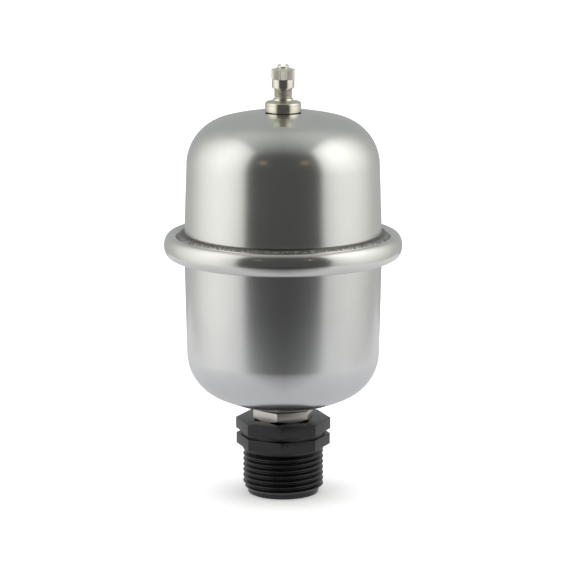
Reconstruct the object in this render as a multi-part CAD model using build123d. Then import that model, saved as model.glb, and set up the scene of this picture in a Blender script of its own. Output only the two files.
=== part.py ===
from build123d import *
import os
from math import acos, atan2, cos, degrees, radians, sin, sqrt, tan
from types import SimpleNamespace

# Small diaphragm expansion tank, in millimetres. It stands upright on the end face of its
# reducing bush: Z runs up the tank's axis and the origin is the centre of that end face.
# The view of the front is along +Y.

# Clearances between pieces
free_fit = 0.1
running_fit = 0.06
rubber_gap = 0.3

# Reducing bush: black moulded plastic, 1 inch pipe thread outside, 1/2 inch inside
pipe_thread_diameter = 33.25
pipe_thread_pitch = 2.309
pipe_thread_length = 16.9
pipe_thread_flank_angle = 27.5
pipe_thread_depth_share = 0.64
thread_root_sink = 0.25
crest_height_at_front = 5.32
front_share_of_turn = 0.75
shank_length = 1.5
nose_diameter = 29.4
nose_length = 2.0
nose_chamfer = 0.5
bush_bore_diameter = 24.0
bush_bore_depth = 16.3
octagon_corner_diameter = 39.3
lower_octagon_shrink = 0.4
octagon_height = 4.6
octagon_gap = 1.9
octagon_neck_diameter = 34.4
octagon_edge_radius = 0.5
octagon_turn = -2.5
mouth_chamfer = 0.4

# Inlet fitting: stainless hexagon with a 1/2 inch male thread below and a boss above
inlet_thread_diameter = 20.955
inlet_thread_length = 13.0
hex_across_flats = 22.7
hex_height = 4.3
hex_turn = 19.4
hex_chamfer_angle = 30.0
hex_blank_allowance = 1.0
spigot_chamfer = 1.0
boss_diameter = 20.4
water_bore_diameter = 14.0

# Drawn shells
sheet = 0.8
shell_radius = 40.6
lower_depth = 68.9
lower_crown_radius = 66.5
lower_knuckle_radius = 19.7
lower_draft = 1.28
upper_depth = 55.25
upper_crown_radius = 100.0
upper_knuckle_radius = 19.8
upper_draft = 1.95
flange_bend_radius = 1.6
flange_width = 6.6

# Rolled clamp ring: an oval tube slit on its inner side, closed over both flanges
ring_half_width = 3.06
ring_half_height = 4.71
ring_wall = 1.0
flange_edge_gap = 0.66

# Weld beads; they are drawn a little way into what they join and trimmed by it
weld_sink = 0.5
seam_weld_rise = 0.9
seam_weld_bulge = 0.35
seam_weld_ring_toe = 0.66
inlet_weld_gap = 0.5
inlet_weld_width = 2.0
inlet_weld_bulge = 0.15

# Rubber diaphragm, drawn down on the lower shell by the air charge
rubber = 1.6
centre_pad_thickness = 1.2
centre_pad_radius = 13.0

# Charging valve
valve_seat_radius = 8.3
valve_seat_blend = 1.5
valve_seat_drop = 0.87
stem_diameter = 7.7
stem_top_chamfer = 0.5
stem_foot_length = 9.3
valve_flange_diameter = 14.7
valve_flange_thickness = 1.85
valve_flange_edge = 1.0
valve_flange_slope = 11.0
collar_diameter = 8.3
collar_height = 0.93
stem_thread_length = 9.82
valve_washer_thickness = 2.72
valve_washer_chamfer = 0.12
outer_gasket_thickness = 0.5
outer_gasket_inset = 0.15
inner_gasket_thickness = 1.0
inner_washer_thickness = 0.8
inner_washer_diameter = 13.0
nut_across_flats = 11.0
nut_height = 3.5

# Screw cap with a straight knurl and a forked core key on its top
cap_cavity_depth = 6.7
cap_skirt_diameter = 9.3
cap_skirt_height = 3.9
cap_lip_radius = 0.6
knurl_diameter = 9.8
knurl_height = 3.8
knurl_depth = 0.2
knurl_teeth = 44
knurl_chamfer = 0.35
cap_cone_height = 0.8
key_diameter = 4.5
key_height = 1.1
key_slot_width = 1.8
key_slot_depth = 1.7
key_chamfer = 0.25
cap_seal_thickness = 0.8

# Valve core, screwed into the stem
core_thread_diameter = 5.1
core_thread_length = 3.1
core_seat_drop = 1.4
stem_bore_diameter = 4.3
core_tongue_length = 3.8
core_tongue_thickness = 1.6
core_tongue_height = 1.6
core_tongue_below_mouth = 1.7
pin_diameter = 1.0
pin_below_mouth = 0.3
barrel_diameter = 3.8
barrel_length = 9.9
barrel_cavity_diameter = 2.7
barrel_end_wall = 1.15
barrel_seal_length = 1.1
barrel_seal_groove = 0.35
seat_seal_thickness = 0.8
pin_cup_thickness = 1.2
pin_cup_diameter = 3.5
spring_wire = 0.3
spring_outside_diameter = 2.2
spring_turns = 6
spring_collar_thickness = 0.8
spring_length = 6.2

# Heights up the axis
thread_top = nose_length + pipe_thread_length
lower_octagon_base = thread_top + shank_length
lower_octagon_top = lower_octagon_base + octagon_height
upper_octagon_base = lower_octagon_top + octagon_gap
bush_top = upper_octagon_base + octagon_height
hex_top = bush_top + hex_height


def sphere_drop(sphere_radius, radius):
    """How far a crown of this radius has fallen away at a distance from its axis."""
    return sphere_radius - sqrt(sphere_radius**2 - radius**2)


flange_radius = shell_radius + flange_width
ring_centre_radius = flange_radius + flange_edge_gap + ring_wall - ring_half_width
inlet_hole_radius = boss_diameter / 2 + free_fit
tank_bottom = hex_top + inlet_weld_gap - sphere_drop(lower_crown_radius, boss_diameter / 2)
seam_height = tank_bottom + lower_depth
valve_seat = seam_height + upper_depth - valve_seat_drop
outer_gasket_top = valve_seat + outer_gasket_thickness
washer_top = outer_gasket_top + valve_washer_thickness
flange_top = washer_top + valve_flange_thickness
collar_top = flange_top + collar_height
stem_top = collar_top + stem_thread_length
cap_ceiling = stem_top + cap_seal_thickness + running_fit
cap_mouth = cap_ceiling - cap_cavity_depth
inner_gasket_base = valve_seat - sheet - inner_gasket_thickness
inner_washer_base = inner_gasket_base - inner_washer_thickness
stem_foot = valve_seat - stem_foot_length
stem_passage_radius = stem_diameter / 2 + free_fit
core_tongue_top = stem_top - core_tongue_below_mouth
core_thread_top = core_tongue_top - core_tongue_height
core_thread_base = core_thread_top - core_thread_length
barrel_top = core_thread_base - running_fit
barrel_base = barrel_top - barrel_length
spring_base = barrel_base + barrel_end_wall + running_fit


def turned(edges):
    """Turn a closed outline, given as radius and height, about the tank's axis."""
    return revolve(Plane.XZ * make_face(edges), Axis.Z)


def turned_points(*points):
    return turned(Polyline(*points, close=True))


def washer(inner_radius, outer_radius, base, top, chamfer_size=0.0):
    """A flat ring with the same small chamfer on both outer edges."""
    if chamfer_size == 0:
        ring = Pos(0, 0, base) * (Circle(outer_radius) - Circle(inner_radius))
        return extrude(ring, amount=top - base)
    return turned_points(
        (inner_radius, base),
        (outer_radius - chamfer_size, base),
        (outer_radius, base + chamfer_size),
        (outer_radius, top - chamfer_size),
        (outer_radius - chamfer_size, top),
        (inner_radius, top),
    )


def prism(corner_radius, sides, turn, base, top):
    """An upright prism on the axis with a regular outline."""
    outline = RegularPolygon(radius=corner_radius, side_count=sides, rotation=turn)
    return extrude(Pos(0, 0, base) * outline, amount=top - base)


def chamfered_hexagon(across_flats, turn, base, top):
    """A hexagon whose lower corners are turned down to a round land."""
    corner_radius = across_flats / 2 / cos(radians(30))
    land_radius = across_flats / 2 - free_fit
    blank_radius = corner_radius + hex_blank_allowance
    blank = turned_points(
        (0, base),
        (land_radius, base),
        (blank_radius, base + (blank_radius - land_radius) * tan(radians(hex_chamfer_angle))),
        (blank_radius, top),
        (0, top),
    )
    return prism(corner_radius, 6, turn, base, top) & blank


def cup_form(depth, radius, crown_radius, knuckle_radius, draft, bend_radius, flange_face):
    """Centres of the arcs of a drawn cup that stands mouth down on the seam plane.

    The crown, the knuckle, the drafted wall and the bend out to the flange run into one another.
    """
    slope = radians(draft)
    crown_height = depth - crown_radius
    reach = radius - knuckle_radius / cos(slope)
    lean = tan(slope)
    middle = reach * lean + crown_height
    spread = reach**2 + crown_height**2 - (crown_radius - knuckle_radius) ** 2
    knuckle_height = (middle + sqrt(middle**2 - (1 + lean**2) * spread)) / (1 + lean**2)
    bend_height = flange_face + bend_radius
    return SimpleNamespace(
        draft=draft,
        crown_radius=crown_radius,
        crown_height=crown_height,
        knuckle_radius=knuckle_radius,
        knuckle_centre=(reach - lean * knuckle_height, knuckle_height),
        bend_radius=bend_radius,
        bend_centre=(radius + (bend_radius - bend_height * sin(slope)) / cos(slope), bend_height),
        flange_face=flange_face,
    )


def cup_surface(form, inset, start_radius, flange_edge):
    """Edges of one face of the cup's wall, from the crown out to the flange's edge."""
    knuckle_r, knuckle_z = form.knuckle_centre
    meeting = degrees(atan2(knuckle_z - form.crown_height, knuckle_r))
    crown_r = form.crown_radius - inset
    start = degrees(acos(start_radius / crown_r))
    crown = CenterArc((0, form.crown_height), crown_r, start, meeting - start)
    knuckle = CenterArc(form.knuckle_centre, form.knuckle_radius - inset, meeting, form.draft - meeting)
    bend = CenterArc(form.bend_centre, form.bend_radius + inset, 180 + form.draft, 90 - form.draft)
    side = Line(knuckle @ 1, bend @ 0)
    flange = Line(bend @ 1, (flange_edge, form.flange_face - inset))
    return [crown, knuckle, side, bend, flange]


def cup_solid(form, thickness, start_radius, flange_edge, centre_edges=None):
    """The cup between its outer face and the same face set in by the wall's thickness."""
    outer = cup_surface(form, 0, start_radius, flange_edge)
    inner = cup_surface(form, thickness, start_radius, flange_edge)
    rim = Line(outer[-1] @ 1, inner[-1] @ 1)
    middle = centre_edges or [Line(outer[0] @ 0, inner[0] @ 0)]
    return turned([*outer, rim, *inner, *middle])


lower_form = cup_form(
    lower_depth,
    shell_radius,
    lower_crown_radius,
    lower_knuckle_radius,
    lower_draft,
    flange_bend_radius,
    rubber / 2 + sheet,
)
upper_form = cup_form(
    upper_depth,
    shell_radius,
    upper_crown_radius,
    upper_knuckle_radius,
    upper_draft,
    flange_bend_radius,
    rubber / 2 + sheet,
)


def upper_wall_radius(height):
    """Outside of the upper shell's drafted wall at a height above the seam plane."""
    return shell_radius - height * tan(radians(upper_draft))


def make_lower_shell():
    cup = cup_solid(lower_form, sheet, inlet_hole_radius, flange_radius)
    return Pos(0, 0, seam_height) * mirror(cup, Plane.XY)


def make_upper_shell():
    """Drawn shell with a coined flat at the top of its crown, pierced for the valve."""
    blend_radius = valve_seat_radius + valve_seat_blend
    outer_edge = (blend_radius, upper_depth - sphere_drop(upper_crown_radius, blend_radius))
    inner_edge = (blend_radius, upper_depth - sheet - sphere_drop(upper_crown_radius - sheet, blend_radius))
    seat = upper_depth - valve_seat_drop
    coined_seat = [
        Line(outer_edge, (valve_seat_radius, seat)),
        Line((valve_seat_radius, seat), (stem_passage_radius, seat)),
        Line((stem_passage_radius, seat), (stem_passage_radius, seat - sheet)),
        Line((stem_passage_radius, seat - sheet), (valve_seat_radius, seat - sheet)),
        Line((valve_seat_radius, seat - sheet), inner_edge),
    ]
    cup = cup_solid(upper_form, sheet, blend_radius, flange_radius, coined_seat)
    return Pos(0, 0, seam_height) * cup


def make_clamp_ring():
    slot_height = rubber + 2 * sheet
    tube = Ellipse(ring_half_width, ring_half_height)
    hollow = Ellipse(ring_half_width - ring_wall, ring_half_height - ring_wall)
    slot = Pos(-ring_half_width / 2, 0) * Rectangle(ring_half_width, slot_height)
    section = Pos(ring_centre_radius, seam_height) * (tube - hollow - slot)
    return revolve(Plane.XZ * section, Axis.Z)


def make_seam_weld(upper_shell, clamp_ring):
    """Bead in the groove between the upper shell's wall and the ring's upper inner side."""
    toe_height = ring_half_height + seam_weld_rise
    wall_toe = (upper_wall_radius(toe_height), toe_height)
    across = ring_half_width * sqrt(1 - seam_weld_ring_toe**2)
    ring_toe = (ring_centre_radius - across, seam_weld_ring_toe * ring_half_height)
    crest = (
        (wall_toe[0] + ring_toe[0]) / 2 + seam_weld_bulge,
        (wall_toe[1] + ring_toe[1]) / 2 + seam_weld_bulge,
    )
    bend_r, bend_z = upper_form.bend_centre
    sheet_middle = flange_bend_radius + sheet / 2
    root = Polyline(
        ring_toe,
        (ring_toe[0] + weld_sink / 2, ring_toe[1] - weld_sink),
        (bend_r, bend_z - sheet_middle),
        (bend_r - sheet_middle, bend_z),
        (wall_toe[0] - weld_sink, toe_height),
        wall_toe,
    )
    bead = turned([ThreePointArc(wall_toe, crest, ring_toe), *root.edges()])
    return Pos(0, 0, seam_height) * bead - upper_shell - clamp_ring


def make_diaphragm():
    """Rubber cup held by its rim between the flanges, with a thicker pad over the inlet."""
    set_in = sheet + rubber_gap
    form = cup_form(
        lower_depth - set_in,
        shell_radius - set_in,
        lower_crown_radius - set_in,
        lower_knuckle_radius - set_in,
        lower_draft,
        flange_bend_radius + set_in,
        rubber / 2,
    )
    cup = cup_solid(form, rubber, 0, flange_radius)
    inner_crown = form.crown_radius - rubber
    inner_top = form.crown_height + inner_crown
    pad_edge_height = inner_top - sphere_drop(inner_crown, centre_pad_radius)
    pad_crown = turned_points(
        (0, inner_top - centre_pad_thickness),
        (centre_pad_radius - centre_pad_thickness, inner_top - centre_pad_thickness),
        (centre_pad_radius, pad_edge_height),
        (centre_pad_radius, pad_edge_height + rubber / 2),
        (0, inner_top + rubber / 2),
    )
    return Pos(0, 0, seam_height) * mirror(cup + pad_crown, Plane.XY)


def make_inlet_fitting():
    """Hexagon with chamfered lower corners, threaded spigot, and a boss in the shell's hole."""
    hexagon = chamfered_hexagon(hex_across_flats, hex_turn, bush_top, hex_top)
    thread_radius = inlet_thread_diameter / 2
    thread_end = bush_top - inlet_thread_length
    spigot = turned_points(
        (0, thread_end),
        (thread_radius - spigot_chamfer, thread_end),
        (thread_radius, thread_end + spigot_chamfer),
        (thread_radius, bush_top),
        (0, bush_top),
    )
    boss_top = hex_top + inlet_weld_gap + sheet / 2
    boss = Pos(0, 0, hex_top) * extrude(Circle(boss_diameter / 2), amount=boss_top - hex_top)
    bore = Pos(0, 0, thread_end) * extrude(Circle(water_bore_diameter / 2), amount=boss_top - thread_end)
    return hexagon + spigot + boss - bore


def make_inlet_weld(lower_shell, inlet_fitting):
    """Bead round the boss, between the hexagon's top and the bottom of the shell."""
    inner = boss_diameter / 2
    outer = inner + inlet_weld_width
    toe = outer - inlet_weld_gap
    inner_rise = tank_bottom + sphere_drop(lower_crown_radius, inner) + sheet / 2
    outer_rise = tank_bottom + sphere_drop(lower_crown_radius, outer) + sheet / 2
    crest = ((toe + outer) / 2 + inlet_weld_bulge, (hex_top + outer_rise) / 2)
    root = Polyline((outer, outer_rise), (inner, inner_rise), (inner, hex_top), (toe, hex_top))
    face = ThreePointArc((toe, hex_top), crest, (outer, outer_rise))
    return turned([face, *root.edges()]) - lower_shell - inlet_fitting


def pipe_thread_ridge(major_radius, pitch, base, top):
    """Right-hand helical ridge, with a tapered first turn, that runs out into the shank above.

    Halfway up its flanks the ridge is half a pitch wide.
    """
    depth = pipe_thread_depth_share * pitch
    root_radius = major_radius - depth
    flank = tan(radians(pipe_thread_flank_angle))
    crest_half = pitch / 4 - depth / 2 * flank
    foot_radius = root_radius - thread_root_sink
    foot_half = crest_half + (depth + thread_root_sink) * flank
    start_height = crest_height_at_front - front_share_of_turn * pitch
    while start_height > base - pitch:
        start_height -= pitch
    profile = Polyline(
        (foot_radius, start_height - foot_half),
        (major_radius, start_height - crest_half),
        (major_radius, start_height + crest_half),
        (foot_radius, start_height + foot_half),
        close=True,
    )
    path = Pos(0, 0, start_height) * Helix(pitch, top - start_height + pitch, major_radius)
    ridge = sweep(Plane.XZ * make_face(profile), path=path, is_frenet=True)
    past_crest = major_radius + thread_root_sink
    envelope = turned_points(
        (foot_radius - thread_root_sink, base),
        (root_radius, base),
        (past_crest, base + past_crest - root_radius),
        (past_crest, top),
        (foot_radius - thread_root_sink, top),
    )
    return ridge & envelope


def make_octagon(corner_diameter, base):
    block = prism(corner_diameter / 2, 8, octagon_turn, base, base + octagon_height)
    return fillet(block.edges().filter_by(Axis.Z), octagon_edge_radius)


def make_reducing_bush():
    """Two octagons on one body, pipe thread and nose below, female thread from above."""
    root_radius = pipe_thread_diameter / 2 - pipe_thread_depth_share * pipe_thread_pitch
    shank_radius = pipe_thread_diameter / 2 + free_fit
    nose_radius = nose_diameter / 2
    socket_radius = inlet_thread_diameter / 2 + free_fit
    bore_radius = bush_bore_diameter / 2
    neck_radius = octagon_neck_diameter / 2
    body = turned_points(
        (bore_radius, 0),
        (nose_radius - nose_chamfer, 0),
        (nose_radius, nose_chamfer),
        (nose_radius, nose_length),
        (root_radius, nose_length),
        (root_radius, thread_top - (shank_radius - root_radius)),
        (shank_radius, thread_top),
        (shank_radius, lower_octagon_base),
        (neck_radius, lower_octagon_base),
        (neck_radius, bush_top),
        (socket_radius + mouth_chamfer, bush_top),
        (socket_radius, bush_top - mouth_chamfer),
        (socket_radius, bush_bore_depth + bore_radius - socket_radius),
        (bore_radius, bush_bore_depth),
    )
    core = turned_points(
        (0, lower_octagon_base),
        (socket_radius, lower_octagon_base),
        (socket_radius, bush_top - mouth_chamfer),
        (socket_radius + mouth_chamfer, bush_top),
        (0, bush_top),
    )
    lower_octagon = make_octagon(octagon_corner_diameter - lower_octagon_shrink, lower_octagon_base)
    upper_octagon = make_octagon(octagon_corner_diameter, upper_octagon_base)
    ridge = pipe_thread_ridge(pipe_thread_diameter / 2, pipe_thread_pitch, nose_length, thread_top)
    return body + (lower_octagon - core) + (upper_octagon - core) + ridge


def make_valve_stem():
    """Turned stem with a round flange outside the shell and a plain foot through it."""
    radius = stem_diameter / 2
    flange_r = valve_flange_diameter / 2
    thread_bore = core_thread_diameter / 2
    bore = stem_bore_diameter / 2
    slope = radians(valve_flange_slope)
    edge_r = flange_r - valve_flange_edge
    shoulder_r = edge_r + valve_flange_edge * sin(slope)
    shoulder_z = flange_top - (shoulder_r - collar_diameter / 2) * tan(slope)
    edge_centre = (edge_r, shoulder_z - valve_flange_edge * cos(slope))
    rounding = CenterArc(edge_centre, valve_flange_edge, 0, 90 - valve_flange_slope)
    outside = Polyline(
        rounding @ 1,
        (collar_diameter / 2, flange_top),
        (radius, collar_top),
        (radius, stem_top - stem_top_chamfer),
        (radius - stem_top_chamfer, stem_top),
        (thread_bore + running_fit, stem_top),
        (thread_bore + running_fit, core_thread_base),
        (bore, core_thread_base - core_seat_drop),
        (bore, stem_foot),
        (radius - stem_top_chamfer, stem_foot),
        (radius, stem_foot + stem_top_chamfer),
        (radius, washer_top),
        (flange_r - valve_washer_chamfer, washer_top),
        (flange_r, washer_top + valve_washer_chamfer),
        rounding @ 0,
    )
    return turned([rounding, *outside.edges()])


def make_valve_washer():
    outer = valve_flange_diameter / 2
    return washer(stem_passage_radius, outer, outer_gasket_top, washer_top, valve_washer_chamfer)


def make_valve_gasket():
    outer = valve_flange_diameter / 2 - outer_gasket_inset
    return washer(stem_passage_radius, outer, valve_seat, outer_gasket_top)


def make_inner_gasket():
    outer = valve_flange_diameter / 2 - outer_gasket_inset
    return washer(stem_passage_radius, outer, inner_gasket_base, valve_seat - sheet)


def make_inner_washer():
    return washer(stem_passage_radius, inner_washer_diameter / 2, inner_washer_base, inner_gasket_base)


def make_valve_nut():
    """Hexagon nut that clamps the valve in the shell from inside, before the shells are joined."""
    base = inner_washer_base - nut_height
    nut = chamfered_hexagon(nut_across_flats, 0, base, inner_washer_base)
    return nut - Pos(0, 0, base) * extrude(Circle(stem_passage_radius), amount=nut_height)


def make_knurl(base):
    """Straight knurl: a star outline with chamfered ends."""
    tip = knurl_diameter / 2
    points = []
    for step in range(2 * knurl_teeth):
        angle = radians(180 * step / knurl_teeth)
        radius = tip - knurl_depth * (step % 2)
        points.append((radius * cos(angle), radius * sin(angle)))
    star = extrude(Pos(0, 0, base) * make_face(Polyline(*points, close=True)), amount=knurl_height)
    ends = turned_points(
        (0, base),
        (tip - knurl_chamfer, base),
        (tip, base + knurl_chamfer),
        (tip, base + knurl_height - knurl_chamfer),
        (tip - knurl_chamfer, base + knurl_height),
        (0, base + knurl_height),
    )
    return star & ends


def make_valve_cap():
    """Screw cap: rounded lip, plain skirt, knurl, conical shoulder and a forked key."""
    skirt = cap_skirt_diameter / 2
    bore = stem_diameter / 2 + running_fit
    knurl_base = cap_mouth + cap_skirt_height
    cone_base = knurl_base + knurl_height
    key_base = cone_base + cap_cone_height
    key_top = key_base + key_height
    key = key_diameter / 2
    cone_r = knurl_diameter / 2 - knurl_chamfer
    lip = CenterArc((skirt - cap_lip_radius, cap_mouth + cap_lip_radius), cap_lip_radius, 0, -90)
    profile = Polyline(
        lip @ 1,
        (bore, cap_mouth),
        (bore, cap_ceiling),
        (0, cap_ceiling),
        (0, key_top),
        (key - key_chamfer, key_top),
        (key, key_top - key_chamfer),
        (key, key_base),
        (cone_r, cone_base),
        (skirt - knurl_depth, cone_base),
        (skirt - knurl_depth, knurl_base),
        (skirt, knurl_base),
        lip @ 0,
    )
    blank = turned([lip, *profile.edges()])
    inside = Pos(0, 0, knurl_base) * extrude(Circle(skirt - knurl_depth), amount=knurl_height)
    slot = Pos(0, 0, key_top - key_slot_depth / 2) * Box(key_slot_width, knurl_diameter, key_slot_depth)
    key_zone = Pos(0, 0, key_top - key_slot_depth) * extrude(Circle(key), amount=key_slot_depth)
    return blank + (make_knurl(knurl_base) - inside) - (slot & key_zone)


def make_cap_seal():
    return Pos(0, 0, stem_top) * extrude(Circle(stem_diameter / 2 - free_fit), amount=cap_seal_thickness)


def make_core_plug():
    """Screwed plug of the core, with a tongue for the key and a hole for the pin."""
    radius = core_thread_diameter / 2
    pin_hole = pin_diameter / 2 + free_fit
    plug = Pos(0, 0, core_thread_base) * extrude(Circle(radius), amount=core_thread_length)
    tongue_round = Pos(0, 0, core_thread_top) * extrude(
        Circle(core_tongue_length / 2), amount=core_tongue_height
    )
    tongue_flats = Pos(0, 0, core_thread_top + core_tongue_height / 2) * Box(
        core_tongue_length, core_tongue_thickness, core_tongue_height
    )
    hole = Pos(0, 0, core_thread_base) * extrude(
        Circle(pin_hole), amount=core_thread_length + core_tongue_height
    )
    return plug + (tongue_round & tongue_flats) - hole


def make_core_barrel():
    """Barrel below the plug: end walls guide the pin and a groove holds the seal ring."""
    outer = barrel_diameter / 2
    cavity = barrel_cavity_diameter / 2
    pin_hole = pin_diameter / 2 + free_fit
    groove_base = barrel_top - core_seat_drop
    groove = outer - barrel_seal_groove
    return turned_points(
        (pin_hole, barrel_base),
        (outer, barrel_base),
        (outer, groove_base - running_fit),
        (groove, groove_base - running_fit),
        (groove, groove_base + barrel_seal_length + running_fit),
        (outer, groove_base + barrel_seal_length + running_fit),
        (outer, barrel_top),
        (pin_hole, barrel_top),
        (pin_hole, barrel_top - barrel_end_wall),
        (cavity, barrel_top - barrel_end_wall),
        (cavity, barrel_base + barrel_end_wall),
        (pin_hole, barrel_base + barrel_end_wall),
    )


def make_core_barrel_seal():
    """Ring in the barrel's groove that seats on the cone inside the stem."""
    base = barrel_top - core_seat_drop
    top = base + barrel_seal_length
    inner = barrel_diameter / 2 - barrel_seal_groove + running_fit
    bore = stem_bore_diameter / 2
    widening = (core_thread_diameter / 2 + running_fit - bore) / core_seat_drop
    cone_base = core_thread_base - core_seat_drop

    def seat_radius(height):
        return bore + widening * (height - cone_base) - running_fit

    return turned_points((inner, base), (seat_radius(base), base), (seat_radius(top), top), (inner, top))


def make_core_pin():
    """Pin with a spring collar inside the barrel and the cup of the seat below it."""
    radius = pin_diameter / 2
    collar = spring_outside_diameter / 2
    cup = pin_cup_diameter / 2
    cup_top = barrel_base - running_fit - seat_seal_thickness
    collar_base = spring_base + spring_length + running_fit
    return turned_points(
        (0, cup_top - pin_cup_thickness),
        (cup, cup_top - pin_cup_thickness),
        (cup, cup_top),
        (radius, cup_top),
        (radius, collar_base),
        (collar, collar_base),
        (collar, collar_base + spring_collar_thickness),
        (radius, collar_base + spring_collar_thickness),
        (radius, stem_top - pin_below_mouth),
        (0, stem_top - pin_below_mouth),
    )


def make_core_seat_seal():
    top = barrel_base - running_fit
    inner = pin_diameter / 2 + running_fit
    return washer(inner, pin_cup_diameter / 2 - running_fit, top - seat_seal_thickness, top)


def make_core_spring():
    """Coil spring that pushes the pin up against its seat."""
    mean_radius = (spring_outside_diameter - spring_wire) / 2
    travel = spring_length - spring_wire
    path = Pos(0, 0, spring_base + spring_wire / 2) * Helix(travel / spring_turns, travel, mean_radius)
    section = Plane(origin=path @ 0, z_dir=path % 0) * Circle(spring_wire / 2)
    return sweep(section, path=path, is_frenet=True)


upper_shell = make_upper_shell()
lower_shell = make_lower_shell()
clamp_ring = make_clamp_ring()
inlet_fitting = make_inlet_fitting()

nodes = {
    "reducing_bush": make_reducing_bush(),
    "inlet_fitting": inlet_fitting,
    "inlet_weld": make_inlet_weld(lower_shell, inlet_fitting),
    "lower_shell": lower_shell,
    "diaphragm": make_diaphragm(),
    "upper_shell": upper_shell,
    "clamp_ring": clamp_ring,
    "seam_weld": make_seam_weld(upper_shell, clamp_ring),
    "valve_stem": make_valve_stem(),
    "valve_washer": make_valve_washer(),
    "valve_gasket": make_valve_gasket(),
    "inner_gasket": make_inner_gasket(),
    "inner_washer": make_inner_washer(),
    "valve_nut": make_valve_nut(),
    "valve_cap": make_valve_cap(),
    "cap_seal": make_cap_seal(),
    "core_plug": make_core_plug(),
    "core_barrel": make_core_barrel(),
    "core_barrel_seal": make_core_barrel_seal(),
    "core_pin": make_core_pin(),
    "core_seat_seal": make_core_seat_seal(),
    "core_spring": make_core_spring(),
}

os.makedirs("parts", exist_ok=True)
for name, solid in nodes.items():
    export_step(solid, f"parts/{name}.step")
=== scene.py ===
import math

import bpy
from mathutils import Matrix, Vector, noise


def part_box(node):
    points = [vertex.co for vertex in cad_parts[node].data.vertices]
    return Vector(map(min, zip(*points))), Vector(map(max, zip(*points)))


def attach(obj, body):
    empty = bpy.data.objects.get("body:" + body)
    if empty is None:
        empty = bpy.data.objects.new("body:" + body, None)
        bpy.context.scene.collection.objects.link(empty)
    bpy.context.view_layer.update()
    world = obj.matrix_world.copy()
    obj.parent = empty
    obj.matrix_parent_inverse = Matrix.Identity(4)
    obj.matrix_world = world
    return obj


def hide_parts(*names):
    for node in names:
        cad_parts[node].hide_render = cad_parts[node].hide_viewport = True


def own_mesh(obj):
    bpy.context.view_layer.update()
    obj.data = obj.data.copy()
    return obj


bl_info = {
    "name": "Expansion tank",
    "version": (1, 0, 0),
    "blender": (4, 5, 0),
    "location": "View3D > Sidebar > Tank",
    "description": "Builds a small stainless expansion tank, piece by piece, round its packed frame",
    "category": "Object",
}

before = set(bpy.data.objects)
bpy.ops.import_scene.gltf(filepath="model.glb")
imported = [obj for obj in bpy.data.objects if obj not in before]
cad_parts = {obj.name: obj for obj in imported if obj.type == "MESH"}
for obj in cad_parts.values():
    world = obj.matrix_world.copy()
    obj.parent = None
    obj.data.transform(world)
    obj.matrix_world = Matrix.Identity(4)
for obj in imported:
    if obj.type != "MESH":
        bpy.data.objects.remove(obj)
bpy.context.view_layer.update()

MM = 0.001


# Helpers for outlines: points are (radius, height) pairs in metres


def arc(centre, radius, start, end, steps):
    """Points of an arc by its angles in degrees, both ends included."""
    points = []
    for step in range(steps + 1):
        angle = math.radians(start + (end - start) * step / steps)
        points.append((centre[0] + radius * math.cos(angle), centre[1] + radius * math.sin(angle)))
    return points


def oval_arc(centre, half_width, half_height, start, end, steps):
    points = []
    for step in range(steps + 1):
        angle = math.radians(start + (end - start) * step / steps)
        points.append((centre[0] + half_width * math.cos(angle), centre[1] + half_height * math.sin(angle)))
    return points


def rounded(points, radius, steps=4):
    """The same closed outline with each corner rounded, or cut short where its sides are short."""
    result = []
    for index, here in enumerate(points):
        before = Vector(points[index - 1]) - Vector(here)
        after = Vector(points[(index + 1) % len(points)]) - Vector(here)
        half = before.angle(after) / 2
        back = min(radius / math.tan(half), before.length * 0.45, after.length * 0.45)
        first = Vector(here) + before.normalized() * back
        last = Vector(here) + after.normalized() * back
        for step in range(steps + 1):
            t = step / steps
            point = first * (1 - t) ** 2 + Vector(here) * 2 * t * (1 - t) + last * t**2
            result.append(tuple(point))
    return result


def spread(first, last, steps):
    """Points along a straight run, without its two ends."""
    return [
        (first[0] + (last[0] - first[0]) * step / steps, first[1] + (last[1] - first[1]) * step / steps)
        for step in range(1, steps)
    ]


# Helpers for meshes


def clear_selection():
    if bpy.context.object and bpy.context.object.mode != "OBJECT":
        bpy.ops.object.mode_set(mode="OBJECT")
    bpy.ops.object.select_all(action="DESELECT")


def draw_line(name, outline, closed):
    """An object holding the outline in the plane y = 0, drawn by extruding one point."""
    clear_selection()
    bpy.ops.mesh.primitive_plane_add(size=MM)
    piece = bpy.context.object
    piece.name = name
    bpy.ops.object.mode_set(mode="EDIT")
    bpy.ops.mesh.merge(type="CENTER")
    bpy.ops.transform.translate(value=(outline[0][0], 0, outline[0][1]))
    for here, there in zip(outline, outline[1:]):
        step = (there[0] - here[0], 0, there[1] - here[1])
        bpy.ops.mesh.extrude_region_move(TRANSFORM_OT_translate={"value": step})
    bpy.ops.object.mode_set(mode="OBJECT")
    if closed:
        last = len(piece.data.vertices) - 1
        for vertex in piece.data.vertices:
            vertex.select = vertex.index in (0, last)
        bpy.ops.object.mode_set(mode="EDIT")
        bpy.ops.mesh.edge_face_add()
        bpy.ops.object.mode_set(mode="OBJECT")
    return piece


def tidy_mesh(piece, merge=0.002 * MM):
    clear_selection()
    bpy.context.view_layer.objects.active = piece
    piece.select_set(True)
    bpy.ops.object.mode_set(mode="EDIT")
    bpy.ops.mesh.select_all(action="SELECT")
    bpy.ops.mesh.remove_doubles(threshold=merge)
    bpy.ops.mesh.normals_make_consistent(inside=False)
    bpy.ops.object.mode_set(mode="OBJECT")


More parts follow.
